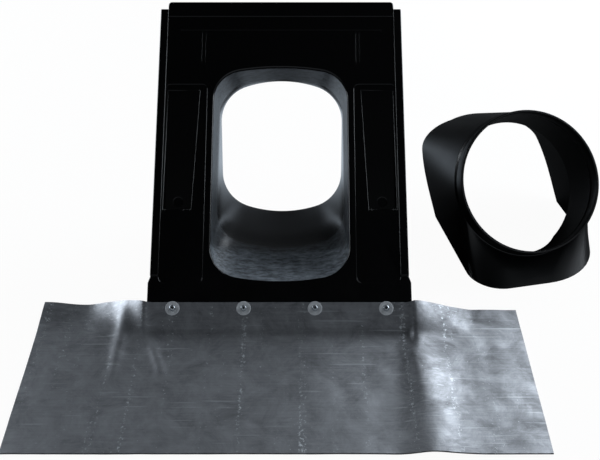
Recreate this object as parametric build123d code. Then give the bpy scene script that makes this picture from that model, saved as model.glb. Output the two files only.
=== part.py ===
from build123d import *
import math
import os

# Flue roof tile, lying with its weather side down on a floor at Z = 0.
# +X runs across the tile, +Y away from the apron's front edge, +Z up.
# The origin is on the floor, at the middle of the apron's flat bed.
# Lengths are in millimetres and angles in degrees.

# Tile plate. "Up" is measured along the slope from the lower edge.
tile_half_width = 145.0
tile_length = 408.0
plate_thickness = 3.0
lower_strip_half_width = 147.5
lower_strip_up = 60.0
lower_strip_flare = 7.0
head_strip_half_width = 136.0
head_strip_length = 10.0
head_strip_rise = 2.0
head_corner_radius = 4.0

# Ribs along both sides of the tile, on the underside
side_rib_width = 9.5
side_rib_rise = 3.0

# Shallow channels near the head, on the underside
channel_up = 369.0
channel_half_length = 120.0
channel_width = 4.0
channel_depth = 0.8
crease_half_spacing = 92.0
crease_length = 39.0

# Side fields: shallow steps on both sides of the cup
field_inner_offset = 87.0
field_top_up = 300.0
field_depth = 1.2
field_corner_radius = 6.0

# Wedge panels in the fields: flush at the top, deep at the bottom
wedge_margin = 3.0
wedge_width_top = 37.0
wedge_width_low = 29.0
wedge_low_up = 146.0
wedge_top_margin = 7.0
wedge_depth_top = 1.5
wedge_depth_low = 11.0
wedge_draft = 8.0
dimple_radius = 5.0
dimple_depth = 1.2
dimple_above_wedge_end = 12.0

# Flue cup: mouth in the plate, ring where the flare ends, and slanted rim
cup_wall = 3.2
mouth_half_width = 78.5
mouth_low_up = 62.0
mouth_top_up = 322.0
mouth_end_sag = 11.0
mouth_corner_radius = 36.0
mouth_edge_ease = 2.5
ring_depth = 42.0
ring_half_width = 74.5
ring_low_up = 114.0
ring_top_up = 325.0
ring_end_sag = 16.0
ring_corner_radius = 40.0
rim_half_width = 75.5
rim_low_up = 189.0
rim_low_depth = 147.0
rim_top_up = 329.0
rim_top_depth = 55.0
rim_end_sag = 22.0
rim_corner_radius = 46.0
cut_overrun = 10.0

# Lead apron
lead_thickness = 1.8
apron_width = 536.0
apron_bed_length = 155.0
apron_drop_run = 14.0
apron_overlap = 36.0
apron_left_overlap = 52.0
apron_right_overlap = 43.0
apron_edge_margin = 3.0
apron_fold_width = 34.0
apron_settle_width = 34.0
apron_settle_share = 0.35
apron_buckle_rise = 5.0
apron_buckle_offset = 14.0

# Rivets and washers along the lower edge
rivet_pitch = 79.0
rivet_count = 4
rivet_up = 30.0
rivet_shank_radius = 2.0
rivet_hole_clearance = 0.15
rivet_head_radius = 3.4
rivet_head_height = 2.0
rivet_bulb_radius = 3.2
rivet_bulb_tip_radius = 1.9
rivet_bulb_height = 2.6
mandrel_hole_radius = 1.1
mandrel_hole_depth = 1.6
washer_radius = 8.0
washer_thickness = 1.2
washer_edge_ease = 0.35

# Pitch collar, standing on the front half of its two seating edges
collar_wall = 3.0
collar_ring_radius = 86.0
collar_ring_tilt = 50.0
collar_ring_back = 86.5
collar_ring_height = 93.5
collar_neck_length = 20.0
collar_neck_step = 1.6
collar_bore_extra = 7.0
collar_toe_inset = 10.0
collar_toe_y = 8.0
collar_skirt_width = 170.0
collar_skirt_length = 411.0
collar_front_left_radius = 40.0
collar_front_right_radius = 80.0
collar_rear_radius = 60.0
collar_seat_apex = 165.0
collar_seat_angle = 34.0
collar_yaw = 12.0
collar_place_x = 315.0
collar_place_gap = 86.0
collar_arc_half_angle = 28.0
quarter_turn = 90.0

# Slope of the resting tile: lower edge and cup lip both touch the floor
rim_length = math.hypot(rim_top_up - rim_low_up, rim_low_depth - rim_top_depth)
rim_up_step = (rim_top_up - rim_low_up) / rim_length
rim_rise_step = (rim_low_depth - rim_top_depth) / rim_length
lip_up = rim_low_up - cup_wall * rim_up_step
lip_depth = rim_low_depth + cup_wall * rim_rise_step
rest_angle = math.degrees(math.atan2(lip_depth - plate_thickness, lip_up))
rest_sin = math.sin(math.radians(rest_angle))
rest_cos = math.cos(math.radians(rest_angle))

# Plane of the tile's underside: local X across, local Y up the slope, local Z towards the underside
tile_edge_y = apron_bed_length / 2 + apron_drop_run
tile_edge_z = plate_thickness * rest_cos
underside = Plane(
    origin=(0, tile_edge_y, tile_edge_z),
    x_dir=(1, 0, 0),
    z_dir=(0, -rest_sin, rest_cos),
)
rivet_places = [(index - (rivet_count - 1) / 2) * rivet_pitch for index in range(rivet_count)]


def block(x_low, x_high, up_low, up_high, z_low, z_high):
    """Box between six limits."""
    box = Box(x_high - x_low, up_high - up_low, z_high - z_low, align=Align.MIN)
    return Pos(x_low, up_low, z_low) * box


def oval(half_width, low, high, sag, corner):
    """Face with straight sides, bowed ends and rounded corners."""
    low_left = (-half_width, low + sag)
    low_right = (half_width, low + sag)
    high_right = (half_width, high - sag)
    high_left = (-half_width, high - sag)
    outline = Wire([
        ThreePointArc(low_left, (0, low), low_right),
        Line(low_right, high_right),
        ThreePointArc(high_right, (0, high), high_left),
        Line(high_left, low_left),
    ])
    face = Face(outline)
    return face.fillet_2d(corner, face.vertices())


def mouth(grow):
    """Outline of the cup's mouth in the plate."""
    return oval(
        mouth_half_width + grow,
        mouth_low_up - grow,
        mouth_top_up + grow,
        mouth_end_sag,
        mouth_corner_radius + grow,
    )


def cup_body(grow):
    """Solid inside the cup's skin, grown sideways by GROW, from the underside to the slanted rim."""
    ring = oval(
        ring_half_width + grow,
        ring_low_up - grow,
        ring_top_up + grow,
        ring_end_sag,
        ring_corner_radius + grow,
    )
    rim_plane = Plane(
        origin=(0, rim_low_up, -rim_low_depth),
        x_dir=(1, 0, 0),
        z_dir=(0, -rim_rise_step, rim_up_step),
    )
    rim = rim_plane * oval(
        rim_half_width + grow,
        -grow,
        rim_length + grow,
        rim_end_sag,
        rim_corner_radius + grow,
    )
    sections = [
        mouth(grow + mouth_edge_ease),
        Pos(0, 0, -mouth_edge_ease) * mouth(grow),
        Pos(0, 0, -ring_depth) * ring,
        rim,
    ]
    return loft(sections, ruled=True), extrude(rim, -cut_overrun)


def wedge(side, grow, lift):
    """Tapered body of one side panel, grown by GROW and reaching LIFT above the field."""
    low_end = wedge_low_up - grow
    top_end = field_top_up - wedge_top_margin + grow
    outer = tile_half_width - side_rib_width - wedge_margin + grow
    faces = []
    for up, width, depth in (
        (low_end, wedge_width_low, wedge_depth_low),
        (top_end, wedge_width_top, wedge_depth_top),
    ):
        spread = (depth + lift) * math.tan(math.radians(wedge_draft))
        inner = outer - width - 2 * grow
        floor_z = -field_depth - depth - grow
        top_z = -field_depth + lift
        corners = [
            (side * (inner - spread), up, top_z),
            (side * (outer + min(spread, wedge_margin)), up, top_z),
            (side * outer, up, floor_z),
            (side * inner, up, floor_z),
        ]
        faces.append(Face(Wire.make_polygon([Vector(corner) for corner in corners])))
    return loft(faces, ruled=True)


def field(side, z_low, z_high, grow):
    """Rounded slab over one side field."""
    inner = field_inner_offset - grow
    outer = tile_half_width - side_rib_width + grow
    length = field_top_up - lower_strip_up + 2 * grow
    middle = Pos(side * (inner + outer) / 2, (field_top_up + lower_strip_up) / 2, z_low)
    outline = RectangleRounded(outer - inner, length, field_corner_radius)
    return middle * extrude(outline, z_high - z_low)


def make_base_tile():
    """Moulded tile in its own plane: plate, ribs, fields, panels and cup."""
    flange_top = tile_length - head_strip_length
    flare_top = lower_strip_up + lower_strip_flare
    right = [
        (lower_strip_half_width, 0),
        (lower_strip_half_width, lower_strip_up),
        (tile_half_width, flare_top),
        (tile_half_width, flange_top),
    ]
    left = [(-x, up) for x, up in reversed(right)]
    outline = make_face(Polyline(*right, *left, close=True))
    plate = Pos(0, 0, -plate_thickness) * extrude(outline, plate_thickness)
    head = block(
        -head_strip_half_width,
        head_strip_half_width,
        flange_top - head_strip_length,
        tile_length,
        -plate_thickness,
        head_strip_rise,
    )
    head_corners = head.edges().filter_by(Axis.Z).group_by(Axis.Y)[-1]
    tile = plate + fillet(head_corners, head_corner_radius)
    for side in (-1, 1):
        rib_edges = sorted((side * tile_half_width, side * (tile_half_width - side_rib_width)))
        tile += block(*rib_edges, flare_top, flange_top, -plate_thickness, side_rib_rise)
        tile += field(side, -plate_thickness - field_depth, 0, plate_thickness)
        tile += wedge(side, plate_thickness, 0)
    cup_outside, _ = cup_body(cup_wall)
    tile += cup_outside

    cup_inside, past_rim = cup_body(0)
    tile -= cup_inside + past_rim
    for side in (-1, 1):
        tile -= field(side, -field_depth, side_rib_rise, 0)
        tile -= wedge(side, 0, field_depth)
        dimple_x = tile_half_width - side_rib_width - wedge_margin - wedge_width_low / 2
        dimple_up = wedge_low_up + dimple_above_wedge_end
        slope = (wedge_depth_low - wedge_depth_top) / (field_top_up - wedge_top_margin - wedge_low_up)
        floor_z = -field_depth - wedge_depth_low + slope * dimple_above_wedge_end
        dimple = Cylinder(dimple_radius, 2 * dimple_depth)
        tile -= Pos(side * dimple_x, dimple_up, floor_z) * dimple
        crease_x = side * crease_half_spacing
        tile -= block(
            crease_x - channel_width / 2,
            crease_x + channel_width / 2,
            channel_up - crease_length,
            channel_up,
            -channel_depth,
            0,
        )
    tile -= block(
        -channel_half_length,
        channel_half_length,
        channel_up - channel_width / 2,
        channel_up + channel_width / 2,
        -channel_depth,
        0,
    )
    for place in rivet_places:
        hole = Cylinder(rivet_shank_radius + rivet_hole_clearance, cut_overrun)
        tile -= Pos(place, rivet_up, -plate_thickness / 2) * hole
    return underside.location * tile


def thicken(points, thickness):
    """Closed outline of a sheet lying on a polyline in the YZ plane."""
    upper = []
    for index, (y, z) in enumerate(points):
        before = points[max(index - 1, 0)]
        after = points[min(index + 1, len(points) - 1)]
        steps = []
        for start, end in ((before, (y, z)), ((y, z), after)):
            length = math.hypot(end[0] - start[0], end[1] - start[1])
            if length > 0:
                steps.append(((end[0] - start[0]) / length, (end[1] - start[1]) / length))
        normal = (-sum(step[1] for step in steps), sum(step[0] for step in steps))
        size = math.hypot(*normal)
        stretch = thickness / (size / len(steps))
        upper.append((y + normal[0] / size * stretch, z + normal[1] / size * stretch))
    return points + upper[::-1]


def apron_section(x, share, rise):
    """Cross-section of the lead at X: SHARE of the tile's slope, and RISE of a buckle in the bed."""
    front_y = -apron_bed_length / 2
    wing_overlap = apron_left_overlap if x < 0 else apron_right_overlap
    overlap = wing_overlap + share * (apron_overlap - wing_overlap)
    angle = math.radians(rest_angle * share)
    fold = (tile_edge_y, tile_edge_z * share + rise)
    top = (fold[0] + overlap * math.cos(angle), fold[1] + overlap * math.sin(angle))
    lower = [(front_y, rise), (front_y + apron_bed_length, rise), fold, top]
    corners = [Vector(x, y, z) for y, z in thicken(lower, lead_thickness)]
    return Face(Wire.make_polygon(corners))


def make_lead_apron():
    """Sheet of lead: on the tile's slope in the middle, and down on the floor at both wings."""
    edge = lower_strip_half_width + apron_edge_margin
    fold_end = edge + apron_fold_width
    settle_end = fold_end + apron_settle_width
    half = apron_width / 2
    stations = [
        (-half, 0, 0),
        (-settle_end, 0, 0),
        (-fold_end, apron_settle_share, 0),
        (-edge, 1, 0),
        (edge, 1, 0),
        (edge + apron_buckle_offset, (1 + apron_settle_share) / 2, apron_buckle_rise),
        (fold_end, apron_settle_share, 0),
        (settle_end, 0, 0),
        (half, 0, 0),
    ]
    sheet = loft([apron_section(*station) for station in stations], ruled=True)
    for place in rivet_places:
        hole = Cylinder(rivet_shank_radius + rivet_hole_clearance, cut_overrun)
        sheet -= underside.location * Pos(place, rivet_up, lead_thickness / 2) * hole
    return sheet


def make_washers():
    """Flat washers lying on the lead."""
    disc = Cylinder(washer_radius, washer_thickness, align=(Align.CENTER, Align.CENTER, Align.MIN))
    disc = chamfer(disc.edges().group_by(Axis.Z)[-1], washer_edge_ease)
    disc -= Cylinder(rivet_shank_radius + rivet_hole_clearance, cut_overrun)
    return [underside.location * Pos(place, rivet_up, lead_thickness) * disc for place in rivet_places]


def make_rivets():
    """Blind rivets: domed head on the washer, shank, and set bulb on the weather side."""
    grip = plate_thickness + lead_thickness + washer_thickness
    crown = 2 * mandrel_hole_radius
    profile = Wire([
        Line((0, -rivet_bulb_height), (rivet_bulb_tip_radius, -rivet_bulb_height)),
        Line((rivet_bulb_tip_radius, -rivet_bulb_height), (rivet_bulb_radius, -rivet_bulb_height / 2)),
        Line((rivet_bulb_radius, -rivet_bulb_height / 2), (rivet_bulb_radius, 0)),
        Line((rivet_bulb_radius, 0), (rivet_shank_radius, 0)),
        Line((rivet_shank_radius, 0), (rivet_shank_radius, grip)),
        Line((rivet_shank_radius, grip), (rivet_head_radius, grip)),
        Line((rivet_head_radius, grip), (crown, grip + rivet_head_height)),
        Line((crown, grip + rivet_head_height), (mandrel_hole_radius, grip + rivet_head_height)),
        Line((mandrel_hole_radius, grip + rivet_head_height),
             (mandrel_hole_radius, grip + rivet_head_height - mandrel_hole_depth)),
        Line((mandrel_hole_radius, grip + rivet_head_height - mandrel_hole_depth),
             (0, grip + rivet_head_height - mandrel_hole_depth)),
        Line((0, grip + rivet_head_height - mandrel_hole_depth), (0, -rivet_bulb_height)),
    ])
    rivet = revolve(Plane.XZ * Face(profile), Axis.Z)
    return [underside.location * Pos(place, rivet_up, -plate_thickness) * rivet for place in rivet_places]


def ring_outline(radius):
    """Circle cut into eight arcs, which match the eight edges of a rounded rectangle."""
    half = collar_arc_half_angle
    turns = []
    for quarter in range(4):
        middle = (quarter - 1) * quarter_turn
        turns.append(middle - half)
        turns.append(middle + half)
    turns.append(turns[0] + 4 * quarter_turn)
    arcs = [
        CenterArc((0, 0), radius, start, end - start)
        for start, end in zip(turns, turns[1:])
    ]
    return Face(Wire(arcs))


def skirt_outline(inset, toe_inset):
    """Foot of the skirt: eight edges from its front edge on, inset on three sides and, more, at the front."""
    half = collar_skirt_width / 2 - inset
    low = collar_toe_y + toe_inset
    high = collar_toe_y + collar_skirt_length - inset
    left_radius = collar_front_left_radius - inset
    right_radius = collar_front_right_radius - inset
    rear_radius = collar_rear_radius - inset
    return Face(Wire([
        Line((left_radius - half, low), (half - right_radius, low)),
        CenterArc((half - right_radius, low + right_radius), right_radius, -quarter_turn, quarter_turn),
        Line((half, low + right_radius), (half, high - rear_radius)),
        CenterArc((half - rear_radius, high - rear_radius), rear_radius, 0, quarter_turn),
        Line((half - rear_radius, high), (rear_radius - half, high)),
        CenterArc((rear_radius - half, high - rear_radius), rear_radius, quarter_turn, quarter_turn),
        Line((-half, high - rear_radius), (-half, low + left_radius)),
        CenterArc((left_radius - half, low + left_radius), left_radius, 2 * quarter_turn, quarter_turn),
    ]))


def make_pitch_collar():
    """Loose collar: round neck on a long skirt whose foot has two seating angles."""
    tilt = math.radians(collar_ring_tilt)
    ring_plane = Plane(
        origin=(0, collar_ring_back, collar_ring_height),
        x_dir=(1, 0, 0),
        z_dir=(0, -math.sin(tilt), math.cos(tilt)),
    )
    neck_plane = ring_plane.offset(-collar_neck_length)
    bore_length = collar_neck_length + collar_bore_extra
    inner_ring = ring_plane.offset(-bore_length) * ring_outline(collar_ring_radius - collar_wall)
    outer_ring = neck_plane * ring_outline(collar_ring_radius + collar_neck_step)
    outside = loft([skirt_outline(0, 0), outer_ring], ruled=True)
    outside += extrude(neck_plane * ring_outline(collar_ring_radius), collar_neck_length)
    inside = loft([skirt_outline(collar_wall, collar_toe_inset), inner_ring], ruled=True)
    inside += extrude(inner_ring, bore_length + cut_overrun)
    collar = outside - inside
    seat = block(
        -collar_skirt_width,
        collar_skirt_width,
        0,
        collar_skirt_length,
        -collar_skirt_length,
        0,
    )
    collar -= Pos(0, collar_seat_apex, 0) * Rot(collar_seat_angle, 0, 0) * seat
    stand = Pos(collar_place_x, tile_edge_y + collar_place_gap, 0) * Rot(0, 0, collar_yaw)
    return stand * collar


def main():
    os.makedirs("parts", exist_ok=True)
    nodes = {
        "base_tile": make_base_tile(),
        "lead_apron": make_lead_apron(),
        "rivet_washers": Compound(children=make_washers()),
        "blind_rivets": Compound(children=make_rivets()),
        "pitch_collar": make_pitch_collar(),
    }
    for name, shape in nodes.items():
        export_step(shape, f"parts/{name}.step")


if __name__ == "__main__":
    main()
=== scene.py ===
"""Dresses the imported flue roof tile: gloss moulding, rolled lead, zinc fixings and a satin collar."""

import math

import bmesh
import bpy
from mathutils import Matrix, Vector, noise


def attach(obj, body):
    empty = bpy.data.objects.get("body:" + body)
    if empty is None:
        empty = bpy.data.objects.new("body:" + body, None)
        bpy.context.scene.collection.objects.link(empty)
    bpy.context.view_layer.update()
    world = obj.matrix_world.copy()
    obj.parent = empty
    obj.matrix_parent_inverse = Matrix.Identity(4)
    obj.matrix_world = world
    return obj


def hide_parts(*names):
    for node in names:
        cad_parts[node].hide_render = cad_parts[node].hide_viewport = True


bl_info = {
    "name": "Flue roof tile",
    "version": (1, 0, 0),
    "blender": (4, 5, 0),
    "location": "3D View > Sidebar > Roof tile",
    "description": "Finishes a moulded flue roof tile with its lead apron, fixings and loose collar",
    "category": "Object",
}

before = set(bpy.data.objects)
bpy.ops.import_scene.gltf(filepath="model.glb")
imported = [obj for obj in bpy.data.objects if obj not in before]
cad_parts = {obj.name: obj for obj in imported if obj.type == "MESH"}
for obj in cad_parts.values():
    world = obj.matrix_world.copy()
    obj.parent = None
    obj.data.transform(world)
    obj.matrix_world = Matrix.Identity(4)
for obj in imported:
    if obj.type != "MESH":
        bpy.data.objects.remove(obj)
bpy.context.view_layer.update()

MM = 0.001

# Resting tile: its lower edge on the floor side, and the slope of its underside
EDGE_Y = 91.5 * MM
PLATE_THICKNESS = 3.0 * MM
REST_ANGLE = math.radians(38.035)
EDGE_Z = PLATE_THICKNESS * math.cos(REST_ANGLE)
LOWER_STRIP_HALF = 147.5 * MM
TILE_PLACE = Matrix.Translation((0, EDGE_Y, EDGE_Z)) @ Matrix.Rotation(REST_ANGLE, 4, "X")

# Cup from the plate to its slanted rim, in millimetres: half width, lower end's place up the slope and depth,
# upper end's place and depth, bow of both ends, corner radius
MOUTH_ROUNDING = 2.5
CUP_SECTIONS = (
    (78.5, 62, MOUTH_ROUNDING, 322, MOUTH_ROUNDING, 11, 36),
    (74.5, 114, 42, 325, 42, 16, 40),
    (75.5, 189, 147, 329, 55, 22, 46),
)
CUP_WALL = 3.2
CUP_POINTS = 112
# Half width and stretch up the slope that hold all of the solid's cup
CUP_REACH = 83
CUP_STRETCH = (57, 335)

# Shallow channels near the head, in millimetres: one across, and a crease down from it on each side
CHANNEL_UP = 369
CHANNEL_HALF = 121
CHANNEL_REACH = 2.5
CREASE_X = 92
CREASE_STRETCH = (329, 371.5)

# Lead past the tile's lower edge, on the tile and on the wings beside it, and how the wings settle
TILE_OVERLAP = 36 * MM
WING_LEFT = 52 * MM
WING_RIGHT = 43 * MM
WING_START = 3 * MM
WING_WIDTH = 68 * MM

WASHER_THICKNESS = 1.2 * MM
SHARP_ANGLE = math.radians(40)

# Flare of the cup, duller and grey with a painted sheen, measured up the slope and down from the underside
FLARE_UP = 118 * MM
FLARE_FADE = 12 * MM
FLARE_DEPTH = 46 * MM
FLARE_SIDE_SHEEN_SHARE = 0.35
CUP_SKIN = "cup_inner_skin"

# Slightly cool studio light
LAMP_COLOUR = "#e8f0f8"
BOUNCE_COLOUR = "#d8e6f4"
# Soft boxes: name, share of the lamp power, place, aim and width, in metres
SOFT_BOXES = (
    ("left_soft_box", 0.6, (-1.5, 0.9, 0.5), (0, 0.35, 0.1), 1.1),
    ("right_soft_box", 0.8, (1.45, 1.0, 0.55), (0.1, 0.4, 0.1), 1.1),
    ("back_soft_box", 0.55, (1.15, 1.5, 1.05), (0.1, 0.1, 0), 0.9),
)
SOFT_BOX_HEIGHT = 0.8
# Floor that reflections find white, from dark to lit in metres: across from the middle, then along the tile
PATCH_ACROSS = ((0.12, 0.07), (0.0, 0.045))
PATCH_ALONG = ((0.35, 0.46), (0.95, 0.7))

CAMERA_PLACE = (0.023, -0.7315, 0.744)
CAMERA_PITCH = math.radians(54)
CAMERA_LENS = 60

# Collar's ring and foot in its own frame, and its place on the floor
RING_TILT = math.radians(50)
RING_BACK = 86.5 * MM
RING_HEIGHT = 93.5 * MM
COLLAR_YAW = math.radians(12)
COLLAR_PLACE = Matrix.Translation((315 * MM, EDGE_Y + 86 * MM, 0)) @ Matrix.Rotation(COLLAR_YAW, 4, "Z")
RING_PLACE = Matrix.Translation((0, RING_BACK, RING_HEIGHT)) @ Matrix.Rotation(RING_TILT, 4, "X")
ARC_HALF_ANGLE = math.radians(28)
SLEEVE_REACH = 66 * MM
SLEEVE_WALL = 2.2 * MM
SLEEVE_TAPER = 0.06
LIP_ROUNDING = 0.7 * MM
COLLAR_SHARP = math.radians(65)
SEAT_APEX = 165 * MM
SEAT_ANGLE = math.radians(34)


def linear(hex_colour):
    """Linear red, green and blue of an sRGB hex colour."""
    channels = [int(hex_colour[start:start + 2], 16) / 255 for start in (1, 3, 5)]
    return tuple(c / 12.92 if c <= 0.04045 else ((c + 0.055) / 1.055) ** 2.4 for c in channels)


def shade(hex_colour):
    """Linear colour with full alpha, for a node's socket."""
    return (*linear(hex_colour), 1)


def smooth_step(low, high, value):
    """Soft ramp from 0 at LOW to 1 at HIGH."""
    share = min(max((value - low) / (high - low), 0), 1)
    return share * share * (3 - 2 * share)


def hump(value, centre, width):
    """Bell of height 1 and half-width WIDTH."""
    return math.exp(-((value - centre) / width) ** 2)


def add_node(material, kind, inputs=None, **settings):
    """Adds one node, with its settings, and sets or links its inputs."""
    tree = material.node_tree
    node = tree.nodes.new(kind)
    for name, value in settings.items():
        setattr(node, name, value)
    for name, value in (inputs or {}).items():
        if isinstance(value, bpy.types.NodeSocket):
            tree.links.new(value, node.inputs[name])
        else:
            node.inputs[name].default_value = value
    return node


def noise_value(material, vector, size, **inputs):
    """Value of a noise whose cells are SIZE wide."""
    sockets = {"Vector": vector, "Scale": 1 / size, **inputs}
    return add_node(material, "ShaderNodeTexNoise", sockets).outputs["Fac"]


def new_material(name):
    """Empty node material and its surface shader, ready for links."""
    material = bpy.data.materials.new(name)
    material.use_nodes = True
    material.node_tree.nodes.clear()
    surface = add_node(material, "ShaderNodeBsdfPrincipled")
    add_node(material, "ShaderNodeOutputMaterial", {"Surface": surface.outputs["BSDF"]})
    return material, surface


def dress(material, surface, colour, roughness, relief=None):
    """Links colour, roughness and relief to the surface shader."""
    links = material.node_tree.links
    links.new(colour, surface.inputs["Base Color"])
    links.new(roughness, surface.inputs["Roughness"])
    if relief:
        links.new(relief, surface.inputs["Normal"])


def new_piece(name, mesh_data, node, slot, *materials):
    """Object for a finished bmesh, which stands for one CAD node."""
    mesh = bpy.data.meshes.new(name)
    mesh_data.to_mesh(mesh)
    mesh_data.free()
    for material in materials:
        mesh.materials.append(material)
    piece = bpy.data.objects.new(name, mesh)
    bpy.context.scene.collection.objects.link(piece)
    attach(piece, "root")
    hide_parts(node)
    return piece


def shade_smooth(piece, sharp_angle):
    """Smooth faces, with edges over SHARP_ANGLE kept sharp."""
    piece.data.polygons.foreach_set("use_smooth", [True] * len(piece.data.polygons))
    piece.data.set_sharp_from_angle(angle=sharp_angle)


def next_loop(skin, loop):
    """Extrudes a closed loop of edges once, and gives each new vertex its partner's value."""
    edges = [edge for edge in skin.edges if edge.verts[0] in loop and edge.verts[1] in loop]
    made = bmesh.ops.extrude_edge_only(skin, edges=edges)
    fresh = [item for item in made["geom"] if isinstance(item, bmesh.types.BMVert)]
    partners = {}
    for vertex in fresh:
        others = [edge.other_vert(vertex) for edge in vertex.link_edges]
        partners[vertex] = next(loop[other] for other in others if other in loop)
    return partners


class FlueTileSettings(bpy.types.PropertyGroup):
    """Sizes and colours of the moulded tile."""

    colour: bpy.props.FloatVectorProperty(
        name="Plastic",
        description="Colour of the moulded plastic",
        subtype="COLOR",
        min=0,
        max=1,
        default=linear("#030304"),
    )
    # Grey of the flare's band, a painted sheen
    painted_sheen_colour: bpy.props.FloatVectorProperty(
        name="Painted sheen on plastic",
        description="Colour of the dull grey band in the cup's flare",
        subtype="COLOR",
        min=0,
        max=1,
        default=linear("#a4adb6"),
    )
    edge_width: bpy.props.FloatProperty(
        name="Edge rounding",
        description="Width of the rounding along moulded edges",
        default=1.15 * MM,
        min=0,
        unit="LENGTH",
    )


class FlueApronSettings(bpy.types.PropertyGroup):
    """Sizes and colours of the lead apron."""

    colour: bpy.props.FloatVectorProperty(
        name="Lead",
        description="Colour of the dull rolled lead",
        subtype="COLOR",
        min=0,
        max=1,
        default=linear("#9a9ca0"),
    )
    width: bpy.props.FloatProperty(
        name="Width", description="Width of the sheet", default=536 * MM, min=0, unit="LENGTH"
    )
    bed_length: bpy.props.FloatProperty(
        name="Bed length",
        description="Length of the sheet that lies on the floor",
        default=155 * MM,
        min=0,
        unit="LENGTH",
    )
    thickness: bpy.props.FloatProperty(
        name="Thickness", description="Thickness of the sheet", default=1.8 * MM, min=0, unit="LENGTH"
    )
    fold_rise: bpy.props.FloatProperty(
        name="Fold rise",
        description="Height of the long fold at the right",
        default=6 * MM,
        min=0,
        unit="LENGTH",
    )
    crease_rise: bpy.props.FloatProperty(
        name="Crease rise",
        description="Height of the two short creases at the left",
        default=2.0 * MM,
        min=0,
        unit="LENGTH",
    )


class FlueFixingSettings(bpy.types.PropertyGroup):
    """Sizes and colours of the washers and rivets."""

    washer_colour: bpy.props.FloatVectorProperty(
        name="Washers",
        description="Colour of the zinc-plated washers",
        subtype="COLOR",
        min=0,
        max=1,
        default=linear("#f4f7fa"),
    )
    rivet_colour: bpy.props.FloatVectorProperty(
        name="Rivets",
        description="Colour of the aluminium rivets",
        subtype="COLOR",
        min=0,
        max=1,
        default=linear("#c3c9ce"),
    )
    pitch: bpy.props.FloatProperty(
        name="Pitch", description="Distance between rivets", default=79 * MM, min=0, unit="LENGTH"
    )
    up: bpy.props.FloatProperty(
        name="Height up the slope",
        description="Distance of the rivets from the tile's lower edge",
        default=30 * MM,
        min=0,
        unit="LENGTH",
    )
    washer_radius: bpy.props.FloatProperty(
        name="Washer radius", description="Outer radius of a washer", default=8 * MM, min=0, unit="LENGTH"
    )
    head_radius: bpy.props.FloatProperty(
        name="Head radius", description="Radius of a rivet's head", default=3.4 * MM, min=0, unit="LENGTH"
    )


class FlueCollarSettings(bpy.types.PropertyGroup):
    """Sizes and colours of the loose collar."""

    colour: bpy.props.FloatVectorProperty(
        name="Plastic",
        description="Colour of the satin plastic",
        subtype="COLOR",
        min=0,
        max=1,
        default=linear("#040506"),
    )
    ring_radius: bpy.props.FloatProperty(
        name="Ring radius", description="Outer radius of the ring", default=86 * MM, min=0, unit="LENGTH"
    )
    neck_length: bpy.props.FloatProperty(
        name="Neck length",
        description="Length of the round neck above the skirt",
        default=20 * MM,
        min=0,
        unit="LENGTH",
    )
    wall: bpy.props.FloatProperty(
        name="Wall", description="Wall thickness", default=3 * MM, min=0, unit="LENGTH"
    )


class FlueStageSettings(bpy.types.PropertyGroup):
    """Floor and light."""

    floor_colour: bpy.props.FloatVectorProperty(
        name="Floor",
        description="Colour of the pale floor",
        subtype="COLOR",
        min=0,
        max=1,
        default=linear("#f4f4f4"),
    )
    lamp_power: bpy.props.FloatProperty(
        name="Lamp power", description="Watts that each lamp takes a share of", default=34, min=0
    )


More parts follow.
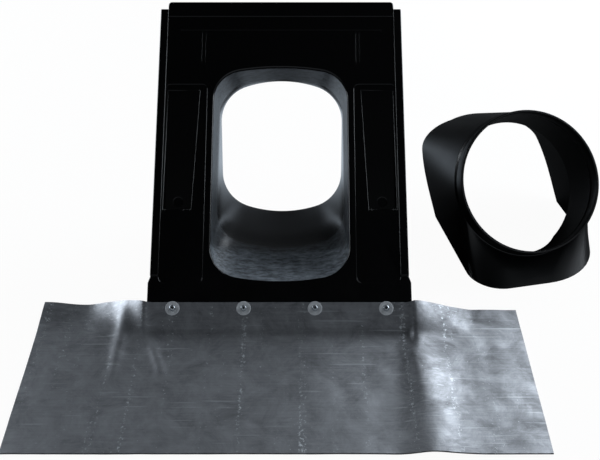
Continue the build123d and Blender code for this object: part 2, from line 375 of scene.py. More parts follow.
def gloss_plastic(settings):
    """Moulded gloss polypropylene: near black, sharp reflections, sink waves, a duller flare in the cup with
    a painted grey sheen.
    """
    material, surface = new_material("Gloss moulded polypropylene")
    place = add_node(material, "ShaderNodeTexCoord").outputs["Object"]
    on_tile = add_node(
        material,
        "ShaderNodeMapping",
        {"Vector": place, "Location": (0, EDGE_Y, EDGE_Z), "Rotation": (REST_ANGLE, 0, 0)},
        vector_type="TEXTURE",
    ).outputs["Vector"]
    axes = add_node(material, "ShaderNodeSeparateXYZ", {"Vector": on_tile})
    # The flare's floor carries a duller band, grey with a painted sheen, that ends at the tube, with a ragged
    # border
    border = noise_value(material, on_tile, 7 * MM, Detail=4)
    ragged = add_node(
        material, "ShaderNodeMath", {0: border, 1: 14 * MM, 2: axes.outputs["Y"]}, operation="MULTIPLY_ADD"
    ).outputs[0]
    low = add_node(
        material,
        "ShaderNodeMapRange",
        {"Value": ragged, "From Min": FLARE_UP, "From Max": FLARE_UP - FLARE_FADE},
        interpolation_type="SMOOTHSTEP",
    ).outputs["Result"]
    inside = add_node(
        material,
        "ShaderNodeMapRange",
        {"Value": axes.outputs["Z"], "From Min": -1 * MM, "From Max": -4 * MM},
        interpolation_type="SMOOTHSTEP",
    ).outputs["Result"]
    above = add_node(
        material,
        "ShaderNodeMapRange",
        {"Value": axes.outputs["Z"], "From Min": -FLARE_DEPTH, "From Max": -FLARE_DEPTH + 6 * MM},
        interpolation_type="SMOOTHSTEP",
    ).outputs["Result"]
    # The flare's sides and top get less dulling and less painted sheen than its floor
    dulled_and_sheen = add_node(
        material, "ShaderNodeMapRange", {"Value": low, "To Min": FLARE_SIDE_SHEEN_SHARE, "To Max": 1}
    ).outputs["Result"]
    skin = add_node(material, "ShaderNodeAttribute", attribute_name=CUP_SKIN).outputs["Fac"]
    band = add_node(material, "ShaderNodeMath", {0: dulled_and_sheen, 1: skin}, operation="MULTIPLY").outputs[0]
    band = add_node(material, "ShaderNodeMath", {0: band, 1: above}, operation="MULTIPLY").outputs[0]
    # Rubbing marks about 10 mm long run across the tile and break the painted sheen into patches
    stretched = add_node(
        material, "ShaderNodeMapping", {"Vector": on_tile, "Scale": (0.35, 1, 1)}
    ).outputs["Vector"]
    rubbed_sheen = noise_value(material, stretched, 4 * MM, Detail=7, Roughness=0.75)
    patches = add_node(
        material,
        "ShaderNodeMapRange",
        {"Value": rubbed_sheen, "From Min": 0.36, "From Max": 0.66, "To Min": 0.15, "To Max": 1},
    ).outputs["Result"]
    sheen_mask = add_node(material, "ShaderNodeMath", {0: band, 1: patches}, operation="MULTIPLY").outputs[0]
    # Painted sheen: the band's grey is laid into the black plastic's colour
    colour = add_node(
        material,
        "ShaderNodeMix",
        {0: sheen_mask, 6: (*settings.colour, 1), 7: (*settings.painted_sheen_colour, 1)},
        data_type="RGBA",
    ).outputs[2]
    handled = noise_value(material, on_tile, 35 * MM, Detail=5, Roughness=0.6)
    gloss = add_node(
        material,
        "ShaderNodeMapRange",
        {"Value": handled, "From Min": 0.3, "From Max": 0.7, "To Min": 0.1, "To Max": 0.18},
    ).outputs["Result"]
    # Inside the cup the mould left a duller skin
    gloss = add_node(
        material, "ShaderNodeMix", {0: inside, 2: gloss, 3: 0.2}, data_type="FLOAT"
    ).outputs[0]
    roughness = add_node(
        material, "ShaderNodeMix", {0: band, 2: gloss, 3: 0.5}, data_type="FLOAT"
    ).outputs[0]
    # Sink waves of the moulding, a few centimetres long
    waves = noise_value(material, on_tile, 45 * MM, Detail=2)
    relief = add_node(
        material,
        "ShaderNodeBump",
        {"Height": waves, "Strength": 0.2, "Distance": 0.6 * MM},
    ).outputs["Normal"]
    dress(material, surface, colour, roughness, relief)
    surface.inputs["IOR"].default_value = 1.49
    return material


def rolled_lead(settings):
    """Milled sheet lead: blue-grey oxide in clouds, mill streaks, bright specks in columns, scratches."""
    material, surface = new_material("Milled sheet lead")
    place = add_node(material, "ShaderNodeTexCoord").outputs["Object"]
    # Mill streaks run across the tile, about 2.5 mm apart and long
    along_roll = add_node(
        material, "ShaderNodeMapping", {"Vector": place, "Scale": (0.05, 1, 1)}
    ).outputs["Vector"]
    streaks = noise_value(material, along_roll, 2.5 * MM, Detail=4, Roughness=0.6)
    # Oxide clouds a few centimetres wide, broken up down to a millimetre
    clouds = noise_value(material, place, 34 * MM, Detail=9, Roughness=0.72, Distortion=0.5)
    tone = add_node(
        material, "ShaderNodeMath", {0: streaks, 1: 0.22, 2: clouds}, operation="MULTIPLY_ADD"
    ).outputs[0]
    tone = add_node(
        material, "ShaderNodeMapRange", {"Value": tone, "From Min": 0.42, "From Max": 0.8}
    ).outputs["Result"]
    dull = [channel * 0.5 for channel in settings.colour]
    bright = [channel * 1.35 for channel in settings.colour]
    oxide = add_node(
        material, "ShaderNodeMix", {0: tone, 6: (*dull, 1), 7: (*bright, 1)}, data_type="RGBA"
    ).outputs[2]
    # Bare bright specks under a millimetre, drawn at 1.5 mm to show, thick in columns 15 to 40 mm apart
    columns = add_node(
        material, "ShaderNodeMapping", {"Vector": place, "Scale": (1, 0.02, 0.02)}
    ).outputs["Vector"]
    columns = noise_value(material, columns, 16 * MM, Detail=3)
    columns = add_node(
        material,
        "ShaderNodeMapRange",
        {"Value": columns, "From Min": 0.52, "From Max": 0.66, "To Min": 0, "To Max": 0.13},
    ).outputs["Result"]
    specks = noise_value(material, place, 3 * MM, Detail=4, Roughness=0.75)
    specks = add_node(material, "ShaderNodeMath", {0: specks, 1: columns}, operation="ADD").outputs[0]
    bare = add_node(
        material, "ShaderNodeMapRange", {"Value": specks, "From Min": 0.66, "From Max": 0.72, "To Max": 1}
    ).outputs["Result"]
    # Fine scratches lie at a slant, some tens of millimetres long
    slant = add_node(
        material, "ShaderNodeMapping", {"Vector": place, "Rotation": (0, 0, 0.5), "Scale": (0.04, 1, 1)}
    ).outputs["Vector"]
    scratches = noise_value(material, slant, 3 * MM, Detail=1)
    scratches = add_node(
        material,
        "ShaderNodeMapRange",
        {"Value": scratches, "From Min": 0.68, "From Max": 0.74, "To Max": 0.4},
    ).outputs["Result"]
    bare = add_node(material, "ShaderNodeMath", {0: bare, 1: scratches}, operation="MAXIMUM").outputs[0]
    colour = add_node(
        material, "ShaderNodeMix", {0: bare, 6: oxide, 7: shade("#d8dde1")}, data_type="RGBA"
    ).outputs[2]
    roughness = add_node(
        material, "ShaderNodeMapRange", {"Value": tone, "To Min": 0.5, "To Max": 0.34}
    ).outputs["Result"]
    relief = add_node(
        material, "ShaderNodeBump", {"Height": tone, "Strength": 0.35, "Distance": 0.35 * MM}
    ).outputs["Normal"]
    dress(material, surface, colour, roughness, relief)
    surface.inputs["Metallic"].default_value = 0.75
    return material


def zinc_plate(settings):
    """Bright zinc plating on pressed steel: cool, slightly cloudy, faint turning marks."""
    material, surface = new_material("Bright zinc plating")
    place = add_node(material, "ShaderNodeTexCoord").outputs["Object"]
    cloud = noise_value(material, place, 3 * MM, Detail=4)
    dark = [channel * 0.7 for channel in settings.washer_colour]
    colour = add_node(
        material,
        "ShaderNodeMix",
        {0: cloud, 6: (*dark, 1), 7: (*settings.washer_colour, 1)},
        data_type="RGBA",
    ).outputs[2]
    roughness = add_node(
        material, "ShaderNodeMapRange", {"Value": cloud, "To Min": 0.3, "To Max": 0.5}
    ).outputs["Result"]
    dress(material, surface, colour, roughness)
    surface.inputs["Metallic"].default_value = 0.25
    return material


def plain_aluminium(settings):
    """Drawn aluminium rivet: pale, softly shiny, with fine scratches."""
    material, surface = new_material("Drawn aluminium")
    place = add_node(material, "ShaderNodeTexCoord").outputs["Object"]
    scratches = noise_value(material, place, 1.2 * MM, Detail=5)
    dark = [channel * 0.75 for channel in settings.rivet_colour]
    colour = add_node(
        material,
        "ShaderNodeMix",
        {0: scratches, 6: (*dark, 1), 7: (*settings.rivet_colour, 1)},
        data_type="RGBA",
    ).outputs[2]
    roughness = add_node(
        material, "ShaderNodeMapRange", {"Value": scratches, "To Min": 0.2, "To Max": 0.4}
    ).outputs["Result"]
    dress(material, surface, colour, roughness)
    surface.inputs["Metallic"].default_value = 0.9
    return material


def mandrel_and_hole_shade():
    """Snapped steel mandrel down in the rivet's hole, dark and rough, and near black as painted shade on the
    hole's walls and floor.
    """
    material, surface = new_material("Mandrel steel and painted hole shade")
    place = add_node(material, "ShaderNodeTexCoord").outputs["Object"]
    grain = noise_value(material, place, 0.5 * MM)
    colour = add_node(
        material,
        "ShaderNodeMix",
        {0: grain, 6: shade("#101114"), 7: shade("#2b2d31")},
        data_type="RGBA",
    ).outputs[2]
    material.node_tree.links.new(colour, surface.inputs["Base Color"])
    surface.inputs["Metallic"].default_value = 0.6
    surface.inputs["Roughness"].default_value = 0.6
    return material


def satin_plastic(settings):
    """Moulded satin polypropylene: black with a soft blue-grey sheen and a fine texture."""
    material, surface = new_material("Satin moulded polypropylene")
    place = add_node(material, "ShaderNodeTexCoord").outputs["Object"]
    handled = noise_value(material, place, 30 * MM, Detail=5, Roughness=0.6)
    dark = [channel * 0.6 for channel in settings.colour]
    colour = add_node(
        material,
        "ShaderNodeMix",
        {0: handled, 6: (*dark, 1), 7: (*settings.colour, 1)},
        data_type="RGBA",
    ).outputs[2]
    roughness = add_node(
        material, "ShaderNodeMapRange", {"Value": handled, "To Min": 0.26, "To Max": 0.36}
    ).outputs["Result"]
    # Mould texture of a few tenths of a millimetre, drawn at 1 mm to show
    texture = noise_value(material, place, 1 * MM, Detail=2)
    relief = add_node(
        material,
        "ShaderNodeBump",
        {"Height": texture, "Strength": 0.06, "Distance": 0.1 * MM},
    ).outputs["Normal"]
    dress(material, surface, colour, roughness, relief)
    surface.inputs["IOR"].default_value = 1.49
    return material


def cup_section(way):
    """Section of the cup at WAY: 0 at the plate, 1 where the flare ends, 2 at the rim, eased between."""
    samples = []
    for ease in (-0.3, -0.15, 0, 0.15, 0.3):
        first = 0 if way + ease < 1 else 1
        share = way + ease - first
        samples.append([a + share * (b - a) for a, b in zip(CUP_SECTIONS[first], CUP_SECTIONS[first + 1])])
    return [sum(values) / len(samples) for values in zip(*samples)]


def cup_point(section, grow, quarters):
    """Point of a section's outline, grown by GROW, QUARTERS of a turn from the middle of its lower end."""
    half, low_up, low_depth, high_up, high_depth, bow, corner = section
    half += grow
    corner += grow
    span = math.hypot(high_up - low_up, high_depth - low_depth)
    bend = (half * half + bow * bow) / (2 * bow)
    turn = math.asin((half - corner) / (bend - corner))
    middle = bend - (bend - corner) * math.cos(turn)
    share = 1 - abs(quarters % 2 - 1)
    if share < 0.3:
        angle = turn * share / 0.3
        x, inward = bend * math.sin(angle), bend - bend * math.cos(angle)
    elif share < 0.7:
        angle = turn + (math.pi / 2 - turn) * (share - 0.3) / 0.4
        x, inward = half - corner + corner * math.sin(angle), middle - corner * math.cos(angle)
    else:
        x, inward = half, middle + (span / 2 + grow - middle) * (share - 0.7) / 0.3
    x = x if quarters < 2 else -x
    along = inward - grow if quarters < 1 or quarters >= 3 else span + grow - inward
    up = low_up + along * (high_up - low_up) / span
    depth = low_depth + along * (high_depth - low_depth) / span
    return Vector((x, up, -depth)) * MM


def cup_rows():
    """Rows of the cup's skin: way along it, growth and lift, from the mouth down inside and up outside."""
    rows = []
    for step in range(1, 6):
        angle = math.pi / 2 * step / 6
        rows.append((0, MOUTH_ROUNDING * (1 - math.sin(angle)), MOUTH_ROUNDING * math.cos(angle)))
    rows += [(step * 0.1, 0, 0) for step in range(21)]
    rows += [(2 - step * 0.1, CUP_WALL, 0) for step in range(20)]
    # The last row tucks under the plate's back, half a millimetre inside its hole
    rows.append((0.03, CUP_WALL, 0))
    rows.append((0.0127, CUP_WALL - 0.5, 0))
    return rows


class OBJECT_OT_flue_tile_moulding(bpy.types.Operator):
    """Draws the tile's cup smooth, rounds the moulded edges and gives it gloss plastic"""

    bl_idname = "object.flue_tile_moulding"
    bl_label = "Moulded tile"
    bl_options = {"REGISTER", "UNDO"}

    def execute(self, context):
        settings = context.scene.flue_tile
        shell = bmesh.new()
        shell.from_mesh(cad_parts["base_tile"].data)
        inner_skin = shell.verts.layers.float.new(CUP_SKIN)
        bmesh.ops.remove_doubles(shell, verts=shell.verts, dist=0.01 * MM)
        bmesh.ops.transform(shell, matrix=TILE_PLACE.inverted(), verts=shell.verts)
        # The cup's facets come off, and the plate keeps a hole on either side
        old_cup = []
        low, high = CUP_STRETCH
        for face in shell.faces:
            points = [vertex.co / MM for vertex in face.verts]
            near = all(abs(point.x) < CUP_REACH and low < point.y < high for point in points)
            on_plate = all(abs(point.z) < 0.01 for point in points)
            on_back = all(abs(point.z + PLATE_THICKNESS / MM) < 0.01 for point in points)
            if near and not on_plate and not on_back:
                old_cup.append(face)
        bmesh.ops.delete(shell, geom=old_cup, context="FACES")
        bmesh.ops.dissolve_limit(shell, angle_limit=math.radians(0.4), verts=shell.verts, edges=shell.edges)
        holes = [edge for edge in shell.edges if edge.is_boundary]
        front = [edge for edge in holes if edge.verts[0].co.z > -1 * MM]
        back = [edge for edge in holes if edge.verts[0].co.z < -1 * MM]
        # The new cup grows row by row from a ring of points
        ring = bmesh.ops.create_circle(shell, cap_ends=False, segments=CUP_POINTS, radius=1)
        loop = {}
        for vertex in ring["verts"]:
            loop[vertex] = math.atan2(vertex.co.y, vertex.co.x) % math.tau * 2 / math.pi
        first = [edge for edge in shell.edges if edge.verts[0] in loop and edge.verts[1] in loop]
        for number, (way, grow, lift) in enumerate(cup_rows()):
            loop = next_loop(shell, loop) if number else loop
            section = cup_section(way)
            for vertex, quarters in loop.items():
                vertex.co = cup_point(section, grow, quarters) + Vector((0, 0, lift * MM))
                vertex[inner_skin] = 1 if grow == 0 else 0
        last = [edge for edge in shell.edges if edge.verts[0] in loop and edge.verts[1] in loop]
        for rims in (front + first, back + last):
            bmesh.ops.triangle_fill(shell, use_beauty=True, edges=rims, normal=(0, 0, 1))
        bmesh.ops.recalc_face_normals(shell, faces=shell.faces)
        corners = [
            edge
            for edge in shell.edges
            if edge.is_manifold and edge.is_convex and edge.calc_face_angle() > SHARP_ANGLE
        ]
        fine = [edge for edge in corners if all(self.in_channel(vertex.co / MM) for vertex in edge.verts)]
        wide = [edge for edge in corners if edge not in fine]
        for edges, width in ((fine, 0.4 * settings.edge_width), (wide, settings.edge_width)):
            bmesh.ops.bevel(
                shell,
                geom=[edge for edge in edges if edge.is_valid],
                offset=width,
                segments=3,
                profile=0.5,
                affect="EDGES",
                material=-1,
            )
        bmesh.ops.transform(shell, matrix=TILE_PLACE, verts=shell.verts)
        piece = new_piece("moulded_tile", shell, "base_tile", "tile_plastic", gloss_plastic(settings))
        shade_smooth(piece, SHARP_ANGLE)
        flats = piece.modifiers.new("Flat faces", "WEIGHTED_NORMAL")
        flats.keep_sharp = True
        return {"FINISHED"}

    @staticmethod
    def in_channel(point):
        """Whether a point is on the shallow channels near the head."""
        low, high = CREASE_STRETCH
        across = abs(point.y - CHANNEL_UP) < CHANNEL_REACH and abs(point.x) < CHANNEL_HALF
        down = abs(abs(point.x) - CREASE_X) < CHANNEL_REACH and low < point.y < high
        return point.z < 0.5 and (across or down)


def lead_hold(x):
    """Share of the tile's slope that the sheet keeps at X: 1 on the tile, down to 0 on the wings."""
    spread = min(max((abs(x) - LOWER_STRIP_HALF - WING_START) / WING_WIDTH, 0), 1)
    return (1 - spread) ** 1.5


def lead_path(settings, x, along):
    """Point of the sheet's underside at X, ALONG the sheet from its front edge."""
    share = lead_hold(x)
    slope = REST_ANGLE * share
    front = -settings.bed_length / 2
    run = EDGE_Y - settings.bed_length / 2
    rise = EDGE_Z * share
    if along <= settings.bed_length:
        return front + along, 0.0
    past = along - settings.bed_length
    if past <= run:
        return front + along, rise * past / run
    past -= run
    return EDGE_Y + past * math.cos(slope), rise + past * math.sin(slope)


def lead_fold(settings, x, y):
    """Height of the folds, ridges and dents that handling left in the sheet."""
    # Long fold at the right: a soft left flank and a broader right one
    crest = 149 * MM + 3 * MM * math.sin(y / (26 * MM) + 2.2) + max(-y - 20 * MM, 0) * 0.1
    left = (15 - 5 * math.sin(y / (30 * MM))) * MM
    swell = 0.8 + 0.2 * math.sin(y / (31 * MM) + 0.6)
    height = settings.fold_rise * swell * hump(x, crest, left if x < crest else 25 * MM)
    height *= 1 - 0.6 * smooth_step(95 * MM, 140 * MM, y)
    # Two short ridges at the left, gone at the top edge
    fade = smooth_step(10 * MM, 50 * MM, y) * (1 - smooth_step(105 * MM, 138 * MM, y))
    height += settings.crease_rise * fade * hump(x, -174 * MM, 7 * MM)
    lean = -131 * MM - 0.33 * max(y - 55 * MM, -20 * MM)
    height += settings.crease_rise * fade * hump(x, lean, 6 * MM)
    # Left corner curls up, a dent in the middle, and a slow waviness
    height += 4 * MM * smooth_step(-222 * MM, -268 * MM, x) * smooth_step(85 * MM, 140 * MM, y)
    height += 0.9 * MM * (1 + noise.noise(Vector((x, y, 0)) / (70 * MM)))
    height += 0.35 * MM * noise.noise(Vector((x, y, 40 * MM)) / (17 * MM))
    height -= 0.8 * MM * hump(x, -22 * MM, 7 * MM) * hump(y, -39 * MM, 4 * MM)
    return max(height, 0)


class OBJECT_OT_flue_lead_apron(bpy.types.Operator):
    """Lays the sheet of lead over the tile's lower edge, with its folds"""

    bl_idname = "object.flue_lead_apron"
    bl_label = "Lead apron"
    bl_options = {"REGISTER", "UNDO"}

    def execute(self, context):
        settings = context.scene.flue_apron
        sheet = bmesh.new()
        bmesh.ops.create_grid(sheet, x_segments=200, y_segments=84, size=0.5)
        blend = 5 * MM
        for vertex in sheet.verts:
            x = vertex.co.x * settings.width
            wing = WING_LEFT if x < 0 else WING_RIGHT
            overlap = wing + lead_hold(x) * (TILE_OVERLAP - wing)
            along = (vertex.co.y + 0.5) * (EDGE_Y + settings.bed_length / 2 + overlap)
            points = [lead_path(settings, x, along + step) for step in (-blend, 0, 0, blend)]
            y = sum(point[0] for point in points) / 4
            z = sum(point[1] for point in points) / 4
            on_tile = 1 - smooth_step(LOWER_STRIP_HALF - 6 * MM, LOWER_STRIP_HALF + 4 * MM, abs(x))
            free = 1 - on_tile * smooth_step(60 * MM, 92 * MM, y)
            vertex.co = (x, y, z + free * lead_fold(settings, x, y))
        bmesh.ops.solidify(sheet, geom=sheet.faces[:], thickness=-settings.thickness)
        bmesh.ops.recalc_face_normals(sheet, faces=sheet.faces)
        piece = new_piece("lead_sheet", sheet, "lead_apron", "lead", rolled_lead(settings))
        shade_smooth(piece, SHARP_ANGLE)
        return {"FINISHED"}


def spun(profile):
    """Closed ring or dome from a profile of radius and height, spun about the local Z axis."""
    turned = bmesh.new()
    points = [turned.verts.new((radius, 0, height)) for radius, height in profile]
    edges = [turned.edges.new(pair) for pair in zip(points, points[1:])]
    bmesh.ops.spin(
        turned,
        geom=points + edges,
        cent=(0, 0, 0),
        axis=(0, 0, 1),
        angle=math.tau,
        steps=72,
        use_merge=True,
    )
    bmesh.ops.remove_doubles(turned, verts=turned.verts, dist=0.002 * MM)
    bmesh.ops.recalc_face_normals(turned, faces=turned.faces)
    return turned


def on_rivet_places(settings, shape, lift):
    """Four copies of SHAPE at the rivets, LIFT above the tile's underside."""
    single = bpy.data.meshes.new("single")
    shape.to_mesh(single)
    shape.free()
    group = bmesh.new()
    for index in range(4):
        before = len(group.verts)
        group.from_mesh(single)
        group.verts.ensure_lookup_table()
        fresh = group.verts[before:]
        place = Matrix.Translation(((index - 1.5) * settings.pitch, settings.up, lift))
        bmesh.ops.transform(group, matrix=TILE_PLACE @ place, verts=fresh)
    bpy.data.meshes.remove(single)
    return group


class OBJECT_OT_flue_washers(bpy.types.Operator):
    """Sets the four flat washers on the lead"""

    bl_idname = "object.flue_washers"
    bl_label = "Washers"
    bl_options = {"REGISTER", "UNDO"}

    def execute(self, context):
        settings = context.scene.flue_fixings
        outer = settings.washer_radius
        inner = 2.15 * MM
        ease = 0.45 * MM
        thick = WASHER_THICKNESS
        profile = [
            (inner, 0),
            (outer - ease, 0),
            (outer, ease),
            (outer, thick - ease),
            (outer - ease * 0.3, thick - ease * 0.3),
            (outer - ease, thick),
            (outer - 1.6 * MM, thick),
            (outer - 2.1 * MM, thick - 0.15 * MM),
            (inner + ease, thick - 0.15 * MM),
            (inner, thick - ease),
            (inner, 0),
        ]
        lead = context.scene.flue_apron.thickness
        group = on_rivet_places(settings, spun(profile), lead)
        piece = new_piece("zinc_washers", group, "rivet_washers", "zinc", zinc_plate(settings))
        shade_smooth(piece, math.radians(35))
        return {"FINISHED"}


class OBJECT_OT_flue_rivets(bpy.types.Operator):
    """Sets the four blind rivets through washer, lead and tile"""

    bl_idname = "object.flue_rivets"
    bl_label = "Blind rivets"
    bl_options = {"REGISTER", "UNDO"}

    def execute(self, context):
        settings = context.scene.flue_fixings
        head = settings.head_radius
        grip = PLATE_THICKNESS + context.scene.flue_apron.thickness + WASHER_THICKNESS
        hole = 1.1 * MM
        crown = 2.0 * MM
        depth = 1.6 * MM
        profile = [
            (0, -2.6 * MM),
            (1.9 * MM, -2.6 * MM),
            (3.0 * MM, -1.6 * MM),
            (3.2 * MM, -0.6 * MM),
            (3.0 * MM, 0),
            (2.0 * MM, 0),
            (2.0 * MM, grip),
            (head, grip),
            (head, grip + 0.3 * crown),
            (head * 0.9, grip + 0.65 * crown),
            (head * 0.7, grip + 0.9 * crown),
            (head * 0.5, grip + crown),
            (hole + 0.15 * MM, grip + crown),
            (hole, grip + crown - 0.15 * MM),
            (hole, grip + crown - depth),
            (0, grip + crown - depth),
        ]
        rivet = spun(profile)
        # The hole's walls and floor take the near-black mandrel material: mandrel steel with painted shade in
        # the hole
        for face in rivet.faces:
            centre = face.calc_center_median()
            deep = centre.z < grip + crown - 0.3 * MM and centre.z > grip
            face.material_index = 1 if deep and math.hypot(centre.x, centre.y) < hole * 1.02 else 0
        group = on_rivet_places(settings, rivet, -PLATE_THICKNESS)
        piece = new_piece(
            "blind_rivets_set",
            group,
            "blind_rivets",
            "rivet_metal",
            plain_aluminium(settings),
            mandrel_and_hole_shade(),
        )
        shade_smooth(piece, SHARP_ANGLE)
        return {"FINISHED"}


def foot_point(turn):
    """Point of the skirt's foot that belongs to angle TURN of the ring, counted from its front."""
    half = 85 * MM
    low = 8 * MM
    high = 419 * MM
    left = 40 * MM
    right = 80 * MM
    rear = 60 * MM
    quarter = math.pi / 2
    straight = 2 * ARC_HALF_ANGLE
    sides = (
        ((left - half, low), (half - right, low), (half - right, low + right), right),
        ((half, low + right), (half, high - rear), (half - rear, high - rear), rear),
        ((half - rear, high), (rear - half, high), (rear - half, high - rear), rear),
        ((-half, high - rear), (-half, low + left), (left - half, low + left), left),
    )
    step = (turn + ARC_HALF_ANGLE) % math.tau
    side = int(step / quarter) % 4
    start, end, centre, radius = sides[side]
    past = step - side * quarter
    if past <= straight:
        return Vector((*start, 0)).lerp(Vector((*end, 0)), past / straight)
    angle = (side - 1) * quarter + (past - straight) / (quarter - straight) * quarter
    return Vector((centre[0] + radius * math.cos(angle), centre[1] + radius * math.sin(angle), 0))


def cut_to_seat(shape):
    """Cuts a collar's wall off at the floor and at its seating plane, and closes the cuts."""
    seat = (0, -math.sin(SEAT_ANGLE), math.cos(SEAT_ANGLE))
    for point, normal in (((0, 0, 0), (0, 0, 1)), ((0, SEAT_APEX, 0), seat)):
        everything = shape.verts[:] + shape.edges[:] + shape.faces[:]
        cut = bmesh.ops.bisect_plane(
            shape, geom=everything, plane_co=point, plane_no=normal, clear_inner=True
        )
        edges = [item for item in cut["geom_cut"] if isinstance(item, bmesh.types.BMEdge)]
        rim = [edge for edge in edges if edge.is_boundary]
        bmesh.ops.triangle_fill(shape, use_beauty=True, edges=rim)


class OBJECT_OT_flue_pitch_collar(bpy.types.Operator):
    """Draws the loose collar's neck and skirt as one smooth moulding"""

    bl_idname = "object.flue_pitch_collar"
    bl_label = "Pitch collar"
    bl_options = {"REGISTER", "UNDO"}

    def execute(self, context):
        settings = context.scene.flue_collar
        skin = bmesh.new()
        ring = bmesh.ops.create_circle(skin, cap_ends=False, segments=144, radius=settings.ring_radius)
        lip = {vertex: vertex.co.copy() for vertex in ring["verts"]}
        for vertex, flat in lip.items():
            vertex.co = RING_PLACE @ flat
        # Neck: a round band, then a small step out to the skirt
        down = settings.neck_length
        loop = lip
        for drop, grow in ((-down + 2.5 * MM, 0), (-down + 0.8 * MM, 0.3 * MM), (-down, 1.6 * MM)):
            loop = next_loop(skin, loop)
            for vertex, flat in loop.items():
                wide = flat * (1 + grow / settings.ring_radius)
                vertex.co = RING_PLACE @ Vector((wide.x, wide.y, drop))
        # Skirt: straight from the neck to its foot
        neck = {flat.freeze(): vertex.co.copy() for vertex, flat in loop.items()}
        rows = 14
        # No row lies on the floor itself, where the cut comes
        for row in (0.2, 0.5, *range(1, rows), rows + 1, rows + 2):
            loop = next_loop(skin, loop)
            for vertex, flat in loop.items():
                turn = math.atan2(flat.y, flat.x) + math.pi / 2
                vertex.co = neck[flat].lerp(foot_point(turn), row / rows)
        bmesh.ops.recalc_face_normals(skin, faces=skin.faces)
        bmesh.ops.solidify(skin, geom=skin.faces[:], thickness=settings.wall)
        to_ring = RING_PLACE.inverted()
        corners = [
            edge
            for edge in skin.edges
            if edge.is_manifold
            and edge.calc_face_angle() > COLLAR_SHARP
            and all((to_ring @ vertex.co).z > -1 * MM for vertex in edge.verts)
        ]
        bmesh.ops.bevel(
            skin, geom=corners, offset=LIP_ROUNDING, segments=2, profile=0.5, affect="EDGES", material=-1
        )
        # A sleeve carries the bore on inside the skirt, down to the seating edges
        inner = settings.ring_radius - settings.wall
        outer = inner + SLEEVE_WALL
        top = -0.8 * settings.neck_length
        corners = [(inner, top), (outer, top), (outer, -SLEEVE_REACH), (inner, -SLEEVE_REACH), (inner, top)]
        sleeve = spun(corners)
        for vertex in sleeve.verts:
            vertex.co.x *= 1 + SLEEVE_TAPER * vertex.co.z / SLEEVE_REACH
        bmesh.ops.transform(sleeve, matrix=RING_PLACE, verts=sleeve.verts)
        for shape in (skin, sleeve):
            cut_to_seat(shape)
        single = bpy.data.meshes.new("sleeve")
        sleeve.to_mesh(single)
        sleeve.free()
        skin.from_mesh(single)
        bpy.data.meshes.remove(single)
        bmesh.ops.recalc_face_normals(skin, faces=skin.faces)
        bmesh.ops.transform(skin, matrix=COLLAR_PLACE, verts=skin.verts)
        piece = new_piece("loose_collar", skin, "pitch_collar", "collar_plastic", satin_plastic(settings))
        shade_smooth(piece, COLLAR_SHARP)
        return {"FINISHED"}


def pale_floor(settings):
    """Pale studio floor: white to the eye, and to reflections only in two patches by the cup."""
    material = bpy.data.materials.new("Pale studio floor")
    material.use_nodes = True
    material.node_tree.nodes.clear()
    place = add_node(material, "ShaderNodeTexCoord").outputs["Object"]
    cloud = add_node(
        material, "ShaderNodeTexNoise", {"Vector": place, "Scale": 1.5, "Detail": 2}
    ).outputs["Fac"]
    colour = add_node(
        material,
        "ShaderNodeMix",
        {0: cloud, 6: shade("#f0f0f0"), 7: (*settings.floor_colour, 1)},
        data_type="RGBA",
    ).outputs[2]
    matt = add_node(material, "ShaderNodeBsdfDiffuse", {"Color": colour}).outputs["BSDF"]
    rays = add_node(material, "ShaderNodeLightPath")
    seen = add_node(
        material,
        "ShaderNodeMath",
        {0: rays.outputs["Is Camera Ray"], 1: rays.outputs["Is Glossy Ray"]},
        operation="MAXIMUM",
    ).outputs[0]
    seen = add_node(
        material,
        "ShaderNodeMath",
        {0: seen, 1: rays.outputs["Is Transmission Ray"]},
        operation="MAXIMUM",
    ).outputs[0]
    # Reflections find white left and right under the cup, and far ones stay dark
    axes = add_node(material, "ShaderNodeSeparateXYZ", {"Vector": place})
    across = add_node(material, "ShaderNodeMath", {0: axes.outputs["X"]}, operation="ABSOLUTE").outputs[0]
    near = rays.outputs["Is Glossy Ray"]
    ramps = [(across, *ramp) for ramp in PATCH_ACROSS]
    ramps += [(axes.outputs["Y"], *ramp) for ramp in PATCH_ALONG]
    for value, dark, lit in ramps:
        near = add_node(
            material,
            "ShaderNodeMapRange",
            {"Value": value, "From Min": dark, "From Max": lit, "To Max": near},
            interpolation_type="SMOOTHSTEP",
        ).outputs["Result"]
    strength = add_node(
        material,
        "ShaderNodeMath",
        {0: near, 1: rays.outputs["Is Camera Ray"]},
        operation="MAXIMUM",
    ).outputs[0]
    share = add_node(material, "ShaderNodeMath", {0: seen, 1: 0.96}, operation="MULTIPLY").outputs[0]
    tint = add_node(
        material,
        "ShaderNodeMix",
        {0: rays.outputs["Is Camera Ray"], 6: shade(BOUNCE_COLOUR), 7: (1, 1, 1, 1)},
        data_type="RGBA",
    ).outputs[2]
    white = add_node(
        material, "ShaderNodeEmission", {"Color": tint, "Strength": strength}
    ).outputs["Emission"]
    mixed = add_node(material, "ShaderNodeMixShader", {0: share, 1: matt, 2: white}).outputs[0]
    add_node(material, "ShaderNodeOutputMaterial", {"Surface": mixed})
    return material


def soft_lamp(name, power, colour, place, aim, width, height):
    """Large rectangular soft box."""
    data = bpy.data.lights.new(name, "AREA")
    data.shape = "RECTANGLE"
    data.size = width
    data.size_y = height
    data.energy = power
    data.color = colour
    lamp = bpy.data.objects.new(name, data)
    lamp.location = place
    lamp.rotation_euler = (Vector(aim) - Vector(place)).to_track_quat("-Z", "Y").to_euler()
    bpy.context.scene.collection.objects.link(lamp)


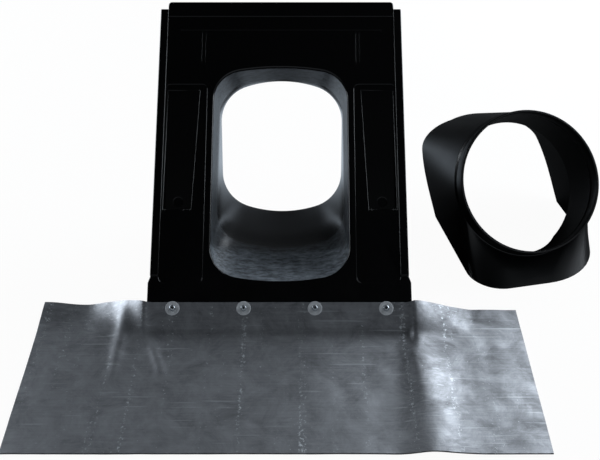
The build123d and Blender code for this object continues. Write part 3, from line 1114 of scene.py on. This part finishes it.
class SCENE_OT_flue_stage(bpy.types.Operator):
    """Adds the pale floor, the soft lamps, the dim room and the camera"""

    bl_idname = "scene.flue_stage"
    bl_label = "Stage"
    bl_options = {"REGISTER", "UNDO"}

    def execute(self, context):
        settings = context.scene.flue_stage
        ground = bmesh.new()
        bmesh.ops.create_grid(ground, x_segments=1, y_segments=1, size=6)
        mesh = bpy.data.meshes.new("floor")
        ground.to_mesh(mesh)
        ground.free()
        mesh.materials.append(pale_floor(settings))
        floor = bpy.data.objects.new("floor", mesh)
        context.scene.collection.objects.link(floor)

        cool = linear(LAMP_COLOUR)
        for name, share, place, aim, width in SOFT_BOXES:
            soft_lamp(name, share * settings.lamp_power, cool, place, aim, width, SOFT_BOX_HEIGHT)

        world = bpy.data.worlds.new("Dim room")
        context.scene.world = world
        world.use_nodes = True
        world.node_tree.nodes.clear()
        direction = add_node(world, "ShaderNodeTexCoord").outputs["Generated"]
        axes = add_node(world, "ShaderNodeSeparateXYZ", {"Vector": direction})
        height = axes.outputs["Z"]
        side = add_node(
            world,
            "ShaderNodeMapRange",
            {"Value": axes.outputs["X"], "From Min": -0.4, "From Max": 0.4, "To Min": 0.55, "To Max": 2.0},
            interpolation_type="SMOOTHSTEP",
        ).outputs["Result"]
        low = add_node(
            world,
            "ShaderNodeMapRange",
            {"Value": height, "From Min": 0.2, "From Max": 0.45, "To Min": 0.04, "To Max": 0.14},
            interpolation_type="SMOOTHSTEP",
        ).outputs["Result"]
        level = add_node(
            world,
            "ShaderNodeMapRange",
            {"Value": height, "From Min": 0.6, "From Max": 0.85, "To Min": 1, "To Max": 0.15},
            interpolation_type="SMOOTHSTEP",
        ).outputs["Result"]
        level = add_node(world, "ShaderNodeMath", {0: low, 1: level}, operation="MULTIPLY").outputs[0]
        level = add_node(world, "ShaderNodeMath", {0: level, 1: side}, operation="MULTIPLY").outputs[0]
        fill = add_node(
            world,
            "ShaderNodeMapRange",
            {"Value": axes.outputs["Y"], "From Min": -0.45, "From Max": -0.7, "To Min": 0, "To Max": 0.22},
            interpolation_type="SMOOTHSTEP",
        ).outputs["Result"]
        level = add_node(world, "ShaderNodeMath", {0: level, 1: fill}, operation="ADD").outputs[0]
        rays = add_node(world, "ShaderNodeLightPath")
        level = add_node(
            world, "ShaderNodeMix", {0: rays.outputs["Is Camera Ray"], 2: level, 3: 1}, data_type="FLOAT"
        ).outputs[0]
        tint = add_node(
            world,
            "ShaderNodeMix",
            {0: rays.outputs["Is Camera Ray"], 6: shade(LAMP_COLOUR), 7: (1, 1, 1, 1)},
            data_type="RGBA",
        ).outputs[2]
        sky = add_node(world, "ShaderNodeBackground", {"Color": tint, "Strength": level})
        add_node(world, "ShaderNodeOutputWorld", {"Surface": sky.outputs["Background"]})

        data = bpy.data.cameras.new("camera")
        data.lens = CAMERA_LENS
        data.sensor_width = 36
        data.sensor_fit = "HORIZONTAL"
        camera = bpy.data.objects.new("camera", data)
        camera.location = CAMERA_PLACE
        camera.rotation_euler = (CAMERA_PITCH, 0, 0)
        context.scene.collection.objects.link(camera)
        context.scene.camera = camera
        context.scene.view_settings.view_transform = "Standard"
        return {"FINISHED"}


class VIEW3D_PT_flue_tile(bpy.types.Panel):
    """Lists the tile's pieces"""

    bl_idname = "VIEW3D_PT_flue_tile"
    bl_label = "Roof tile"
    bl_space_type = "VIEW_3D"
    bl_region_type = "UI"
    bl_category = "Roof tile"

    def draw(self, context):
        for group, operator in PIECES:
            box = self.layout.box()
            settings = getattr(context.scene, group)
            for name in settings.bl_rna.properties.keys():
                if name not in {"rna_type", "name"}:
                    box.prop(settings, name)
            box.operator(operator)


PIECES = (
    ("flue_tile", "object.flue_tile_moulding"),
    ("flue_apron", "object.flue_lead_apron"),
    ("flue_fixings", "object.flue_washers"),
    ("flue_fixings", "object.flue_rivets"),
    ("flue_collar", "object.flue_pitch_collar"),
    ("flue_stage", "scene.flue_stage"),
)

SETTINGS = {
    "flue_tile": FlueTileSettings,
    "flue_apron": FlueApronSettings,
    "flue_fixings": FlueFixingSettings,
    "flue_collar": FlueCollarSettings,
    "flue_stage": FlueStageSettings,
}

CLASSES = (
    *SETTINGS.values(),
    OBJECT_OT_flue_tile_moulding,
    OBJECT_OT_flue_lead_apron,
    OBJECT_OT_flue_washers,
    OBJECT_OT_flue_rivets,
    OBJECT_OT_flue_pitch_collar,
    SCENE_OT_flue_stage,
    VIEW3D_PT_flue_tile,
)


def register():
    for cls in CLASSES:
        bpy.utils.register_class(cls)
    for name, group in SETTINGS.items():
        setattr(bpy.types.Scene, name, bpy.props.PointerProperty(type=group))


def unregister():
    for name in SETTINGS:
        delattr(bpy.types.Scene, name)
    for cls in reversed(CLASSES):
        bpy.utils.unregister_class(cls)


def main():
    register()
    bpy.ops.object.flue_tile_moulding()
    bpy.ops.object.flue_lead_apron()
    bpy.ops.object.flue_washers()
    bpy.ops.object.flue_rivets()
    bpy.ops.object.flue_pitch_collar()
    bpy.ops.scene.flue_stage()
    bpy.context.view_layer.update()


if __name__ == "__main__":
    main()
